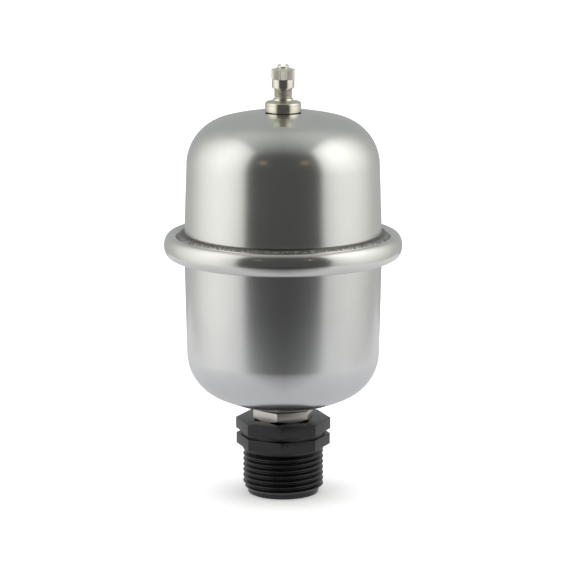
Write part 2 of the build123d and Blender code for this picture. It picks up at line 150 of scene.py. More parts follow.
def turn(name, outline, segments, closed=True):
    """A piece turned about the tank's axis from its outline."""
    piece = draw_line(name, outline, closed)
    bpy.ops.object.mode_set(mode="EDIT")
    bpy.ops.mesh.select_all(action="SELECT")
    bpy.ops.mesh.spin(steps=segments, angle=2 * math.pi, center=(0, 0, 0), axis=(0, 0, 1))
    bpy.ops.object.mode_set(mode="OBJECT")
    tidy_mesh(piece)
    return piece


def join(kept, *others):
    clear_selection()
    for other in others:
        other.select_set(True)
    kept.select_set(True)
    bpy.context.view_layer.objects.active = kept
    bpy.ops.object.join()
    return kept


def combine(kept, tool, operation):
    """Unites, cuts or intersects a piece with a tool body, which is used up."""
    clear_selection()
    bpy.context.view_layer.objects.active = kept
    kept.select_set(True)
    bpy.ops.object.modifier_add(type="BOOLEAN")
    modifier = kept.modifiers[-1]
    modifier.operation = operation
    modifier.solver = "EXACT"
    modifier.object = tool
    bpy.ops.object.modifier_apply(modifier=modifier.name)
    bpy.data.objects.remove(tool)
    return kept


def bevel_edges(piece, width, segments=3, angle=30):
    clear_selection()
    bpy.context.view_layer.objects.active = piece
    piece.select_set(True)
    bpy.ops.object.modifier_add(type="BEVEL")
    modifier = piece.modifiers[-1]
    modifier.width = width
    modifier.segments = segments
    modifier.limit_method = "ANGLE"
    modifier.angle_limit = math.radians(angle)
    bpy.ops.object.modifier_apply(modifier=modifier.name)


def prism(name, corner_radius, sides, turned_by, base, top):
    """An upright prism on the axis, with a corner at the angle given in degrees."""
    clear_selection()
    bpy.ops.mesh.primitive_cylinder_add(
        vertices=sides,
        radius=corner_radius,
        depth=top - base,
        location=(0, 0, (base + top) / 2),
        rotation=(0, 0, math.radians(turned_by - 90)),
    )
    piece = bpy.context.object
    piece.name = name
    bpy.ops.object.transform_apply(location=True, rotation=True, scale=True)
    return piece


def cut_thread(name, tooth, pitch, base, top, root, shank, steps):
    """An open threaded tube between two heights, from its root radius below to its shank above.

    The tooth is one pitch of the outline. It is screwed up the axis, and what passes either
    end is drawn back to a plain ring, where the piece's other walls join it.
    """
    piece = draw_line(name, tooth, closed=False)
    bpy.ops.object.modifier_add(type="SCREW")
    screw = piece.modifiers[-1]
    screw.axis = "Z"
    screw.steps = steps
    screw.render_steps = steps
    screw.screw_offset = pitch
    screw.iterations = math.ceil((top - base) / pitch) + 2
    screw.use_merge_vertices = True
    screw.merge_threshold = 0.002 * MM
    bpy.ops.object.modifier_apply(modifier=screw.name)
    for vertex in piece.data.vertices:
        co = vertex.co
        height = min(max(co.z, base), top)
        radius = math.hypot(co.x, co.y)
        limit = root + height - base
        filled = shank - (top - height)
        if shank <= root:
            limit = min(limit, root + top - height)
            filled = root
        scale = max(min(radius, limit), filled) / radius
        vertex.co = (co.x * scale, co.y * scale, height)
    tidy_mesh(piece)
    clear_selection()
    bpy.context.view_layer.objects.active = piece
    piece.select_set(True)
    bpy.ops.object.mode_set(mode="EDIT")
    bpy.ops.mesh.select_all(action="SELECT")
    bpy.ops.mesh.dissolve_degenerate(threshold=0.002 * MM)
    bpy.ops.object.mode_set(mode="OBJECT")
    return piece


def place(piece, body, finish, slot, *nodes):
    """Gives a finished piece its material and body, and hides the CAD nodes it stands for."""
    clear_selection()
    bpy.context.view_layer.objects.active = piece
    piece.select_set(True)
    bpy.ops.object.shade_smooth_by_angle(angle=math.radians(32))
    piece.data.materials.clear()
    piece.data.materials.append(finish)
    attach(piece, body)
    if nodes:
        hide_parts(*nodes)


def refinish(node, finish):
    """A better material on a CAD node whose shape is right."""
    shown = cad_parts[node]
    shown.data.materials.clear()
    shown.data.materials.append(finish)


# Helpers for materials


def linear(code):
    """An sRGB hex value as linear red, green and blue with full opacity."""
    channels = [int(code[i:i + 2], 16) / 255 for i in (1, 3, 5)]
    return [c / 12.92 if c <= 0.04045 else ((c + 0.055) / 1.055) ** 2.4 for c in channels] + [1.0]


def add_node(material, kind, settings=(), values=(), links=()):
    """Adds a node, sets its settings and input values, and links its inputs to other outputs."""
    node = material.node_tree.nodes.new(kind)
    for name, value in settings:
        setattr(node, name, value)
    for socket, value in values:
        node.inputs[socket].default_value = value
    for socket, output in links:
        material.node_tree.links.new(output, node.inputs[socket])
    return node


def new_finish(name, values):
    """An empty material with its shader, whose constant sockets are set straight on it."""
    material = bpy.data.materials.new(name)
    material.use_nodes = True
    shader = material.node_tree.nodes["Principled BSDF"]
    for socket, value in values:
        shader.inputs[socket].default_value = value
    return material, shader


def colour_ramp(material, factor, stops):
    ramp = add_node(material, "ShaderNodeValToRGB", links=[("Fac", factor)])
    elements = ramp.color_ramp.elements
    while len(elements) < len(stops):
        elements.new(0.5)
    for element, (position, colour) in zip(elements, stops):
        element.position = position
        element.color = colour
    return ramp


def value_range(material, factor, low, high):
    """Spreads a 0 to 1 pattern over a range of values."""
    return add_node(
        material,
        "ShaderNodeMapRange",
        values=[("To Min", low), ("To Max", high)],
        links=[("Value", factor)],
    )


def pattern(material, kind, scale, stretch=(1, 1, 1), values=(), settings=()):
    """A procedural texture on Object coordinates; the scale is features to the metre."""
    place_on = add_node(material, "ShaderNodeTexCoord")
    mapping = add_node(
        material,
        "ShaderNodeMapping",
        values=[("Scale", stretch)],
        links=[("Vector", place_on.outputs["Object"])],
    )
    return add_node(
        material,
        kind,
        settings=settings,
        values=[("Scale", scale), *values],
        links=[("Vector", mapping.outputs["Vector"])],
    )


def satin_stainless(name, colour, shade, roughness, spread_of_roughness, grain):
    """Deep-drawn stainless, tumbled and satin polished."""
    material, shader = new_finish(name, [("Metallic", 1.0)])
    cloud = pattern(material, "ShaderNodeTexNoise", 45, values=[("Detail", 4.0)])
    colours = colour_ramp(
        material, cloud.outputs["Fac"], [(0.3, linear(shade)), (0.7, linear(colour))]
    )
    rough = value_range(
        material, cloud.outputs["Fac"], roughness - spread_of_roughness, roughness + spread_of_roughness
    )
    fine = pattern(material, "ShaderNodeTexNoise", 2600, values=[("Detail", 3.0)])
    bump = add_node(
        material,
        "ShaderNodeBump",
        values=[("Strength", grain), ("Distance", 0.02 * MM)],
        links=[("Height", fine.outputs["Fac"])],
    )
    tree = material.node_tree
    tree.links.new(colours.outputs["Color"], shader.inputs["Base Color"])
    tree.links.new(rough.outputs["Result"], shader.inputs["Roughness"])
    tree.links.new(bump.outputs["Normal"], shader.inputs["Normal"])
    return material


def weld_bead(name, colour, shade, painted_shade_inside):
    """A weld bead: rippled and brushed, so it sparkles in specks, with painted shade, a dark grey on the
    side of the wall inside the radius given, where the bead meets the wall."""
    material, shader = new_finish(name, [("Metallic", 1.0)])
    blotch = pattern(material, "ShaderNodeTexNoise", 900, values=[("Detail", 4.0), ("Roughness", 0.6)])
    colours = colour_ramp(
        material, blotch.outputs["Fac"], [(0.42, linear(shade)), (0.7, linear(colour))]
    )
    where = add_node(material, "ShaderNodeTexCoord")
    flat = add_node(
        material,
        "ShaderNodeMapping",
        values=[("Scale", (1, 1, 0))],
        links=[("Vector", where.outputs["Object"])],
    )
    radius = add_node(
        material, "ShaderNodeVectorMath", settings=[("operation", "LENGTH")], links=[(0, flat.outputs["Vector"])]
    )
    from_wall = add_node(
        material,
        "ShaderNodeMapRange",
        values=[("From Min", painted_shade_inside), ("From Max", painted_shade_inside + 1.6 * MM)],
        links=[("Value", radius.outputs["Value"])],
    )
    # Painted shade: the bead turns dark grey towards the wall, inside the given radius, where it meets the wall.
    painted_shade_mix = add_node(
        material,
        "ShaderNodeMixRGB",
        values=[("Color1", linear("#6a6763"))],
        links=[("Fac", from_wall.outputs["Result"]), ("Color2", colours.outputs["Color"])],
    )
    rough = value_range(material, blotch.outputs["Fac"], 0.42, 0.17)
    coarse = pattern(material, "ShaderNodeTexNoise", 1500, values=[("Detail", 2.0)])
    bump = add_node(
        material,
        "ShaderNodeBump",
        values=[("Strength", 0.18), ("Distance", 0.1 * MM)],
        links=[("Height", coarse.outputs["Fac"])],
    )
    tree = material.node_tree
    tree.links.new(painted_shade_mix.outputs["Color"], shader.inputs["Base Color"])
    tree.links.new(rough.outputs["Result"], shader.inputs["Roughness"])
    tree.links.new(bump.outputs["Normal"], shader.inputs["Normal"])
    return material


def plain_metal(name, colour, shade, roughness, grain=0.1, scale=900):
    """Turned or plated metal with faint tool marks."""
    return satin_stainless(name, colour, shade, roughness, roughness * 0.2, grain)


def turned_nickel(name, low, high, painted_band_colour, worn_roughness):
    """Nickel over turned brass: a warm mirror, duller between two heights, where it is threaded
    or knurled and the plate is thin and rubbed. The band's colour is painted light: painted shade
    in the stem's thread and a painted sheen on the cap's knurl."""
    material, shader = new_finish(name, [("Metallic", 1.0)])
    cloud = pattern(material, "ShaderNodeTexNoise", 120, values=[("Detail", 4.0)])
    bright = colour_ramp(
        material, cloud.outputs["Fac"], [(0.3, linear("#dcd7ca")), (0.7, linear("#e6e2d6"))]
    )
    where = add_node(material, "ShaderNodeTexCoord")
    axes = add_node(material, "ShaderNodeSeparateXYZ", links=[("Vector", where.outputs["Object"])])
    height = add_node(
        material,
        "ShaderNodeMapRange",
        values=[("From Min", low), ("From Max", high)],
        links=[("Value", axes.outputs["Z"])],
    )
    black, white = [0, 0, 0, 1], [1, 1, 1, 1]
    band = colour_ramp(
        material, height.outputs["Result"], [(0.0, black), (0.06, white), (0.94, white), (1.0, black)]
    )
    # Painted light: inside the band the colour turns to the given one, painted shade on the stem's thread, a painted
    # sheen on the cap's knurl.
    colours = add_node(
        material,
        "ShaderNodeMixRGB",
        values=[("Color2", linear(painted_band_colour))],
        links=[("Fac", band.outputs["Color"]), ("Color1", bright.outputs["Color"])],
    )
    rough = value_range(material, band.outputs["Color"], 0.19, worn_roughness)
    fine = pattern(material, "ShaderNodeTexNoise", 2600, values=[("Detail", 3.0)])
    bump = add_node(
        material,
        "ShaderNodeBump",
        values=[("Strength", 0.1), ("Distance", 0.02 * MM)],
        links=[("Height", fine.outputs["Fac"])],
    )
    tree = material.node_tree
    tree.links.new(colours.outputs["Color"], shader.inputs["Base Color"])
    tree.links.new(rough.outputs["Result"], shader.inputs["Roughness"])
    tree.links.new(bump.outputs["Normal"], shader.inputs["Normal"])
    return material


def moulded_black(name, colour, shade, roughness):
    """Glass-filled nylon, moulded: a fine matt grain and a little gloss at a low angle."""
    material, shader = new_finish(name, [("IOR", 1.56)])
    cloud = pattern(material, "ShaderNodeTexNoise", 260, values=[("Detail", 5.0)])
    colours = colour_ramp(
        material, cloud.outputs["Fac"], [(0.35, linear(shade)), (0.65, linear(colour))]
    )
    rough = value_range(material, cloud.outputs["Fac"], roughness - 0.05, roughness + 0.07)
    fine = pattern(material, "ShaderNodeTexNoise", 3200, values=[("Detail", 3.0)])
    bump = add_node(
        material,
        "ShaderNodeBump",
        values=[("Strength", 0.25), ("Distance", 0.03 * MM)],
        links=[("Height", fine.outputs["Fac"])],
    )
    tree = material.node_tree
    tree.links.new(colours.outputs["Color"], shader.inputs["Base Color"])
    tree.links.new(rough.outputs["Result"], shader.inputs["Roughness"])
    tree.links.new(bump.outputs["Normal"], shader.inputs["Normal"])
    return material


def soft_rubber(name, colour, shade):
    return moulded_black(name, colour, shade, 0.62)


# Sizes and colours that a user would change


def length(name, description, millimetres):
    return bpy.props.FloatProperty(
        name=name, description=description, default=millimetres * MM, unit="LENGTH", precision=5
    )


class TankSizes(bpy.types.PropertyGroup):
    segments: bpy.props.IntProperty(
        name="Segments", description="Faces round each turned piece", default=192, min=24
    )
    sheet: length("Sheet", "Thickness of the drawn steel sheet", 0.8)
    seam_height: length("Seam height", "Height of the seam plane above the bush's end face", 104.413)
    shell_radius: length("Shell radius", "Outside of both shells at the seam plane", 40.6)
    flange_radius: length("Flange radius", "Outer edge of the shells' flanges", 47.2)
    flange_face: length("Flange face", "Height of a flange's outer face from the seam plane", 1.6)
    bend_radius: length("Bend radius", "Bend between a shell's wall and its flange", 1.6)
    upper_crown_radius: length("Upper crown radius", "Sphere of the upper crown", 100.0)
    upper_crown_height: length("Upper crown centre", "Centre of that sphere from the seam plane", -44.75)
    upper_knuckle_radius: length("Upper knuckle radius", "Bend between crown and wall", 19.8)
    lower_crown_radius: length("Lower crown radius", "Sphere of the lower crown", 66.5)
    lower_crown_height: length("Lower crown centre", "Centre of that sphere from the seam plane", 2.4)
    lower_knuckle_radius: length("Lower knuckle radius", "Bend between crown and wall", 19.7)
    valve_seat: length("Valve seat", "Height of the coined flat under the valve", 158.793)
    ring_centre_radius: length("Ring radius", "Centre line of the clamp ring", 45.8)
    ring_half_width: length("Ring half width", "Half the ring's oval across", 3.06)
    ring_half_height: length("Ring half height", "Half the ring's oval upwards", 4.71)
    ring_wall: length("Ring wall", "Thickness of the ring's strip", 1.0)
    pipe_pitch: length("Pipe thread pitch", "Pitch of the 1 inch pipe thread", 2.309)
    pipe_crest: length("Pipe thread diameter", "Over the crests of the pipe thread", 33.25)
    valve_pitch: length("Valve thread pitch", "32 threads to the inch", 0.794)
    valve_crest: length("Valve thread diameter", "Over the crests of the valve's thread", 7.7)


class TankColours(bpy.types.PropertyGroup):
    steel: bpy.props.StringProperty(
        name="Steel", description="sRGB hex of the satin stainless", default="#e4e3dc"
    )
    nickel: bpy.props.StringProperty(
        name="Nickel", description="sRGB hex of the nickel plate", default="#e6e0d0"
    )
    plastic: bpy.props.StringProperty(
        name="Plastic", description="sRGB hex of the moulded bush", default="#26272b"
    )


def tank_sizes():
    return bpy.context.scene.tank_sizes


def shell_face(sizes, inset, crown_radius, crown_height, knuckle_radius, knuckle_centre, draft, start_radius):
    """One face of a drawn shell's wall as (radius, rise from the seam plane), crown to flange."""
    meeting = math.degrees(math.atan2(knuckle_centre[1] - crown_height, knuckle_centre[0]))
    crown = crown_radius - inset
    start = math.degrees(math.acos(start_radius / crown))
    points = arc((0, crown_height), crown, start, meeting, 26)
    points += arc(knuckle_centre, knuckle_radius - inset, meeting, draft, 48)[1:]
    bend_height = sizes.flange_face + sizes.bend_radius
    slope = math.radians(draft)
    bend_r = sizes.shell_radius + (sizes.bend_radius - bend_height * math.sin(slope)) / math.cos(slope)
    bend = arc((bend_r, bend_height), sizes.bend_radius + inset, 180 + draft, 270, 10)
    points += spread(points[-1], bend[0], 12)
    points += bend
    points.append((sizes.flange_radius, sizes.flange_face - inset))
    return points


def knuckle_centre(sizes, depth, crown_radius, crown_height, knuckle_radius, draft):
    """Where the knuckle meets both the crown and the drafted wall without a step."""
    slope = math.radians(draft)
    reach = sizes.shell_radius - knuckle_radius / math.cos(slope)
    lean = math.tan(slope)
    middle = reach * lean + crown_height
    span = reach**2 + crown_height**2 - (crown_radius - knuckle_radius) ** 2
    height = (middle + math.sqrt(middle**2 - (1 + lean**2) * span)) / (1 + lean**2)
    return (reach - lean * height, height)


class TANK_OT_draw_upper_shell(bpy.types.Operator):
    """Draws the upper shell with its coined valve seat"""

    bl_idname = "tank.draw_upper_shell"
    bl_label = "Draw upper shell"

    def execute(self, context):
        sizes = tank_sizes()
        seam = sizes.seam_height
        crown = sizes.upper_crown_radius
        crown_height = sizes.upper_crown_height
        draft = 1.95
        centre = knuckle_centre(sizes, 0, crown, crown_height, sizes.upper_knuckle_radius, draft)
        args = (crown, crown_height, sizes.upper_knuckle_radius, centre, draft)
        blend = 9.8 * MM
        outer = [(r, seam + z) for r, z in shell_face(sizes, 0, *args, blend)]
        inner = [(r, seam + z) for r, z in shell_face(sizes, sizes.sheet, *args, blend)]
        seat = sizes.valve_seat
        middle = [
            (8.3 * MM, seat - sizes.sheet),
            (3.95 * MM, seat - sizes.sheet),
            (3.95 * MM, seat),
            (8.3 * MM, seat),
        ]
        piece = turn("upper_shell_drawn", outer + inner[::-1] + middle, sizes.segments)
        finish = satin_stainless("satin polished stainless, upper shell", "#e0e1dd", "#dadbd7", 0.225, 0.01, 0.05)
        place(piece, "tank", finish, "satin_steel", "upper_shell")
        return {"FINISHED"}


class TANK_OT_draw_lower_shell(bpy.types.Operator):
    """Draws the lower shell with the hole for the inlet's boss"""

    bl_idname = "tank.draw_lower_shell"
    bl_label = "Draw lower shell"

    def execute(self, context):
        sizes = tank_sizes()
        seam = sizes.seam_height
        crown = sizes.lower_crown_radius
        crown_height = sizes.lower_crown_height
        draft = 1.28
        centre = knuckle_centre(sizes, 0, crown, crown_height, sizes.lower_knuckle_radius, draft)
        args = (crown, crown_height, sizes.lower_knuckle_radius, centre, draft)
        hole = 10.3 * MM
        outer = [(r, seam - z) for r, z in shell_face(sizes, 0, *args, hole)]
        inner = [(r, seam - z) for r, z in shell_face(sizes, sizes.sheet, *args, hole)]
        piece = turn("lower_shell_drawn", outer + inner[::-1], sizes.segments)
        finish = satin_stainless("satin polished stainless, lower shell", "#dfe0de", "#d9dad8", 0.24, 0.01, 0.05)
        place(piece, "tank", finish, "satin_steel", "lower_shell")
        return {"FINISHED"}


class TANK_OT_roll_clamp_ring(bpy.types.Operator):
    """Rolls the oval clamp ring over both flanges"""

    bl_idname = "tank.roll_clamp_ring"
    bl_label = "Roll clamp ring"

    def execute(self, context):
        sizes = tank_sizes()
        centre = (sizes.ring_centre_radius, sizes.seam_height)
        half_slot = 1.6 * MM
        wide, tall = sizes.ring_half_width, sizes.ring_half_height
        lip = 180 - math.degrees(math.asin(half_slot / tall))
        inner_lip = 180 - math.degrees(math.asin(half_slot / (tall - sizes.ring_wall)))
        outline = oval_arc(centre, wide, tall, lip, -lip, 72)
        outline += oval_arc(centre, wide - sizes.ring_wall, tall - sizes.ring_wall, -inner_lip, inner_lip, 40)
        piece = turn("clamp_ring_rolled", outline, sizes.segments)
        finish = satin_stainless("polished stainless strip, rolled", "#e1e1dd", "#d9d9d5", 0.2, 0.015, 0.05)
        place(piece, "tank", finish, "satin_steel", "clamp_ring")
        return {"FINISHED"}


class TANK_OT_lay_welds(bpy.types.Operator):
    """Lays the bead in the seam's groove and gives the one round the inlet's boss its finish"""

    bl_idname = "tank.lay_welds"
    bl_label = "Lay welds"

    def seam_bead(self, sizes):
        seam = sizes.seam_height
        wall_toe = (40.409 * MM, seam + 5.61 * MM)
        ring_toe = (43.501 * MM, seam + 3.109 * MM)
        middle = ((wall_toe[0] + ring_toe[0]) / 2, (wall_toe[1] + ring_toe[1]) / 2)
        along = Vector(ring_toe) - Vector(wall_toe)
        out = Vector((-along.y, along.x)).normalized()
        face = []
        for step in range(11):
            t = step / 10
            point = Vector(wall_toe) + along * t + out * (0.5 * MM * 4 * t * (1 - t))
            face.append(tuple(point))
        root = [(43.7 * MM, seam + 2.7 * MM), (41.9 * MM, seam + 1.9 * MM), (40.4 * MM, seam + 3.4 * MM), (40.05 * MM, seam + 5.4 * MM)]
        piece = turn("seam_weld_bead", face + root, 1080)
        for vertex in piece.data.vertices:
            co = vertex.co
            radius = math.hypot(co.x, co.y)
            share = (radius - wall_toe[0]) / (ring_toe[0] - wall_toe[0])
            if not 0.02 < share < 0.98 or co.z < ring_toe[1] - 0.05 * MM + (1 - share) * 1.5 * MM:
                continue
            angle = math.atan2(co.y, co.x)
            lean = 0.25 * abs(share - 0.5) ** 2
            ripple = math.cos((angle * middle[0] / (0.9 * MM) + lean * 8) * 2 * math.pi)
            rough = noise.noise(co / (0.55 * MM)) * 0.17 * MM
            from_rough_run = math.remainder(angle - math.radians(222), 2 * math.pi)
            unbrushed = max(0, math.cos(1.8 * from_rough_run)) if abs(from_rough_run) < 1 else 0
            amount = (0.03 * MM * ripple + rough * (0.2 + 0.9 * unbrushed)) * 4 * share * (1 - share)
            lift = Vector((co.x / radius * out.x, co.y / radius * out.x, out.y))
            vertex.co = co + lift * amount
        return piece

    def execute(self, context):
        sizes = tank_sizes()
        bead = self.seam_bead(sizes)
        # Both beads carry painted shade on their wall side.
        finish = weld_bead("stainless weld bead, painted shade by the wall", "#d8d5cf", "#7a7772", 41.4 * MM)
        place(bead, "tank", finish, "weld_metal", "seam_weld")
        refinish("inlet_weld", weld_bead("inlet weld bead, painted shade by the wall", "#d8d5cf", "#7a7772", 9.5 * MM))
        return {"FINISHED"}


class TANK_OT_mill_inlet_fitting(bpy.types.Operator):
    """Mills the hexagon with its spigot and boss"""

    bl_idname = "tank.mill_inlet_fitting"
    bl_label = "Mill inlet fitting"

    def execute(self, context):
        sizes = tank_sizes()
        base, top = 31.5 * MM, 35.8 * MM
        flat = 22.7 / 2 * MM
        corner = flat / math.cos(math.radians(30))
        piece = prism("inlet_fitting_milled", corner, 6, 19.4, base, top)
        bevel_edges(piece, 0.12 * MM, 3)
        land = flat - 0.1 * MM
        reach = 3 * MM
        rise = reach * math.tan(math.radians(30))
        envelope = turn(
            "hexagon_envelope",
            [(0, base), (land, base), (land + reach, base + rise), (land + reach, top + 1 * MM), (0, top + 1 * MM)],
            sizes.segments,
        )
        combine(piece, envelope, "INTERSECT")
        bore, boss, spigot = 7.0 * MM, 10.2 * MM, 20.955 / 2 * MM
        foot = 18.5 * MM
        tube = turn(
            "fitting_tube",
            [
                (bore, foot),
                (spigot - 1 * MM, foot),
                (spigot, foot + 1 * MM),
                (spigot, base + 0.5 * MM),
                (boss, base + 1 * MM),
                (boss, 36.7 * MM),
                (bore, 36.7 * MM),
            ],
            sizes.segments,
        )
        drill = turn(
            "fitting_drill", [(0, foot - MM), (bore, foot - MM), (bore, top + 2 * MM), (0, top + 2 * MM)], sizes.segments
        )
        combine(piece, drill, "DIFFERENCE")
        combine(piece, tube, "UNION")
        tidy_mesh(piece)
        finish = plain_metal("milled stainless", "#cdcbc4", "#bdbbb4", 0.3)
        place(piece, "tank", finish, "machined_steel", "inlet_fitting")
        return {"FINISHED"}


class TANK_OT_mould_bush(bpy.types.Operator):
    """Moulds the black reducing bush with its two octagons and its pipe thread"""

    bl_idname = "tank.mould_bush"
    bl_label = "Mould bush"

    def octagon(self, name, corner_diameter, base):
        piece = prism(name, corner_diameter / 2, 8, -2.5, base, base + 4.6 * MM)
        bevel_edges(piece, 0.16 * MM, 4)
        return piece

    def execute(self, context):
        sizes = tank_sizes()
        pitch = sizes.pipe_pitch
        crest = sizes.pipe_crest / 2
        depth = 0.64 * pitch
        root = crest - depth
        rounding = 0.1373 * pitch
        front_crest = 5.32 * MM
        start = front_crest - 1.25 * pitch
        while start > -pitch:
            start -= pitch
        flank = math.radians(27.5)
        root_centre = (root + rounding, start)
        crest_centre = (crest - rounding, start + pitch / 2)
        tooth = arc(root_centre, rounding, 180, 90 + 27.5, 4)
        tooth += arc(crest_centre, rounding, -(90 - 27.5), 90 - 27.5, 8)
        upper_root = (root_centre[0], start + pitch)
        tooth += arc(upper_root, rounding, 270 - 27.5, 180, 4)
        base, top = 2.0 * MM, 18.9 * MM
        steps = 144
        shank = crest + 0.1 * MM
        thread = cut_thread("reducing_bush_moulded", tooth, pitch, base, top, root, shank, steps)
        nose = 14.7 * MM
        neck = 17.2 * MM
        bush_top = 31.5 * MM
        socket = 10.5775 * MM
        bore = 12.0 * MM
        rest = turn(
            "bush_walls",
            [
                (shank, top),
                (shank, 20.7 * MM),
                (neck, 20.7 * MM),
                (neck, 31.2 * MM),
                (socket + 0.4 * MM, 31.2 * MM),
                (socket, 30.8 * MM),
                (socket, 17.7 * MM),
                (bore, 16.3 * MM),
                (bore, 0.2 * MM),
                (bore + 0.2 * MM, 0),
                (nose - 0.45 * MM, 0),
                (nose - 0.12 * MM, 0.14 * MM),
                (nose, 0.5 * MM),
                (nose, base - 0.15 * MM),
                (nose - 0.1 * MM, base),
                (root, base),
            ],
            steps,
            closed=False,
        )
        piece = join(thread, rest)
        tidy_mesh(piece, 0.004 * MM)
        lower = self.octagon("lower_octagon", 38.9 * MM, 20.4 * MM)
        upper = self.octagon("upper_octagon", 39.3 * MM, 26.9 * MM)
        for octagon, drill_top in ((lower, 26 * MM), (upper, 33 * MM)):
            drill = turn(
                "octagon_drill",
                [(0, 19 * MM), (socket + 0.2 * MM, 19 * MM), (socket + 0.2 * MM, drill_top), (0, drill_top)],
                96,
            )
            combine(octagon, drill, "DIFFERENCE")
            combine(piece, octagon, "UNION")
        finish = moulded_black("moulded black glass-filled nylon", "#08080b", "#050507", 0.28)
        place(piece, "tank", finish, "black_plastic", "reducing_bush")
        return {"FINISHED"}


class TANK_OT_turn_valve(bpy.types.Operator):
    """Turns the charging valve's stem, its washer and the gasket under it"""

    bl_idname = "tank.turn_valve"
    bl_label = "Turn valve"

    def execute(self, context):
        sizes = tank_sizes()
        pitch = sizes.valve_pitch
        crest = sizes.valve_crest / 2
        root = crest - 0.65 * pitch
        collar_top, stem_top = 164.793 * MM, 174.613 * MM
        flat = 0.06 * pitch
        start = collar_top - 2 * pitch
        tooth = [
            (root, start),
            (root, start + flat),
            (crest, start + 0.5 * pitch - flat / 2),
            (crest, start + 0.5 * pitch + flat / 2),
            (root, start + pitch - flat),
            (root, start + pitch),
        ]
        steps = 96
        thread = cut_thread("valve_stem_turned", tooth, pitch, collar_top, stem_top - 0.1 * MM, root, root, steps)
        edge = 7.35 * MM
        washer_top = 162.013 * MM
        flange_top = 163.863 * MM
        edge_radius = 1.0 * MM
        slope = math.radians(11)
        shoulder_r = edge - edge_radius + edge_radius * math.sin(slope)
        shoulder_z = flange_top - (shoulder_r - 4.15 * MM) * math.tan(slope)
        edge_centre = (edge - edge_radius, shoulder_z - edge_radius * math.cos(slope))
        rest = turn(
            "valve_stem_rest",
            [
                (root, stem_top - 0.1 * MM),
                (root - 0.1 * MM, stem_top),
                (2.61 * MM, stem_top),
                (2.61 * MM, 168.213 * MM),
                (2.15 * MM, 166.813 * MM),
                (2.15 * MM, 149.493 * MM),
                (3.35 * MM, 149.493 * MM),
                (3.85 * MM, 149.993 * MM),
                (3.85 * MM, washer_top),
                (edge - 0.12 * MM, washer_top),
                (edge, washer_top + 0.12 * MM),
                *arc(edge_centre, edge_radius, 0, 79, 10),
                (4.35 * MM, flange_top - 0.03 * MM),
                (4.15 * MM, flange_top + 0.12 * MM),
                (4.13 * MM, collar_top - 0.5 * MM),
                (3.9 * MM, collar_top - 0.12 * MM),
                (root, collar_top),
            ],
            steps,
            closed=False,
        )
        stem = join(thread, rest)
        tidy_mesh(stem, 0.004 * MM)
        # A darker band colour over the thread: painted shade between its teeth.
        nickel = turned_nickel("nickel-plated turned brass", collar_top, 168.6 * MM, "#d9d5cb", 0.5)
        place(stem, "tank", nickel, "plated_brass", "valve_stem")
        seat = sizes.valve_seat
        gasket_top = seat + 0.5 * MM
        washer = turn(
            "valve_washer_turned",
            rounded([(3.95 * MM, gasket_top), (edge, gasket_top), (edge, washer_top), (3.95 * MM, washer_top)], 0.12 * MM),
            128,
        )
        place(washer, "tank", nickel, "plated_brass", "valve_washer")
        gasket_edge = 7.2 * MM
        gasket = turn(
            "valve_gasket_pressed",
            [
                (3.95 * MM, seat),
                *arc((gasket_edge - 0.25 * MM, seat + 0.25 * MM), 0.25 * MM, -90, 90, 8),
                (3.95 * MM, gasket_top),
            ],
            128,
        )
        rubber = soft_rubber("black nitrile rubber", "#17181a", "#121315")
        place(gasket, "tank", rubber, "rubber", "valve_gasket")
        return {"FINISHED"}


class TANK_OT_turn_cap(bpy.types.Operator):
    """Turns the valve's screw cap with its knurl and forked key"""

    bl_idname = "tank.turn_cap"
    bl_label = "Turn cap"

    def knurl(self, base, top, tip, teeth, depth):
        """A band with pointed teeth, made by drawing every other corner inwards."""
        clear_selection()
        corners = teeth * 2
        bpy.ops.mesh.primitive_cylinder_add(
            vertices=corners, radius=tip, depth=top - base, location=(0, 0, (base + top) / 2)
        )
        piece = bpy.context.object
        bpy.ops.object.transform_apply(location=True, rotation=True, scale=True)
        for vertex in piece.data.vertices:
            angle = math.atan2(vertex.co.x, vertex.co.y) % (2 * math.pi)
            if round(angle / (2 * math.pi) * corners) % 2:
                scale = (tip - depth) / tip
                vertex.co.x *= scale
                vertex.co.y *= scale
        return piece

    def execute(self, context):
        mouth, ceiling = 168.773 * MM, 175.473 * MM
        skirt, bore = 4.65 * MM, 3.91 * MM
        knurl_base, knurl_top = mouth + 3.9 * MM, mouth + 7.7 * MM
        key_base = knurl_top + 0.8 * MM
        key_top = key_base + 1.1 * MM
        body = turn(
            "valve_cap_turned",
            [
                *arc((skirt - 0.6 * MM, mouth + 0.6 * MM), 0.6 * MM, 0, -90, 8),
                (bore, mouth),
                (bore, ceiling),
                (0, ceiling),
                (0, key_top),
                (2.0 * MM, key_top),
                (2.25 * MM, key_top - 0.25 * MM),
                (2.25 * MM, key_base),
                (4.55 * MM, knurl_top),
                (4.55 * MM, knurl_base),
                (skirt, knurl_base - 0.1 * MM),
            ],
            128,
        )
        slot = prism("key_slot", 1.8 * MM / math.sqrt(2), 4, 45, key_top - 1.7 * MM, key_top + 1 * MM)
        for vertex in slot.data.vertices:
            vertex.co.y *= 6
        keep = turn(
            "key_zone",
            [(0, key_top - 2 * MM), (2.3 * MM, key_top - 2 * MM), (2.3 * MM, key_top + 2 * MM), (0, key_top + 2 * MM)],
            96,
        )
        combine(slot, keep, "INTERSECT")
        combine(body, slot, "DIFFERENCE")
        knurl = self.knurl(knurl_base, knurl_top, 4.9 * MM, 48, 0.18 * MM)
        drill = turn(
            "knurl_drill",
            [(0, knurl_base - MM), (4.2 * MM, knurl_base - MM), (4.2 * MM, knurl_top + MM), (0, knurl_top + MM)],
            96,
        )
        combine(knurl, drill, "DIFFERENCE")
        combine(body, knurl, "UNION")
        tidy_mesh(body)
        # A lighter band colour over the knurl: painted sheen.
        nickel = turned_nickel("nickel-plated turned brass, cap", knurl_base, knurl_top + 0.6 * MM, "#f0ede4", 0.55)
        place(body, "cap", nickel, "plated_brass", "valve_cap")
        return {"FINISHED"}


